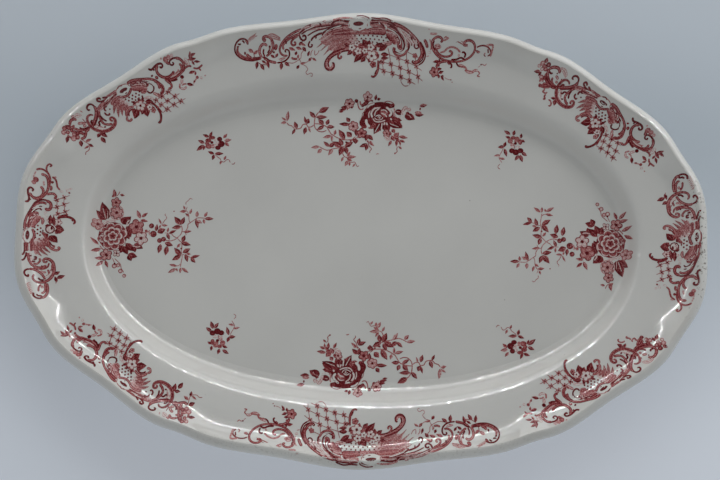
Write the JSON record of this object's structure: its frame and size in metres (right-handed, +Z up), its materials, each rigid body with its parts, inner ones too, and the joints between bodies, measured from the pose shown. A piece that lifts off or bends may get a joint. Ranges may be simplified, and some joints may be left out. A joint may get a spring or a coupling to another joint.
{
  "type": "china serving platter",
  "caption": "Oval glazed serving platter with a scalloped, upturned rim, a deep well and a foot ring, decorated with red floral and scrollwork transfer prints.",
  "frame": {"origin": "middle of the foot ring's resting face", "axes": "+X along the platter's length, +Y across it, +Z up out of the well"},
  "size_m": [0.3802, 0.255, 0.031],
  "materials": {
    "glazed_body": "glossy off-white lead glaze over white earthenware",
    "print_ink": "crimson transfer print under the same glossy glaze"
  },
  "bodies": {
    "root": {"platter_body": "glazed_body", "border_print_top": "print_ink", "border_print_upper_right": "print_ink", "border_print_right": "print_ink", "border_print_lower_right": "print_ink", "border_print_bottom": "print_ink", "border_print_lower_left": "print_ink", "border_print_left": "print_ink", "border_print_upper_left": "print_ink", "spray_top": "print_ink", "spray_right": "print_ink", "spray_bottom": "print_ink", "spray_left": "print_ink", "sprig_upper_left": "print_ink", "sprig_upper_right": "print_ink", "sprig_lower_right": "print_ink", "sprig_lower_left": "print_ink"}
  },
  "joints": []
}
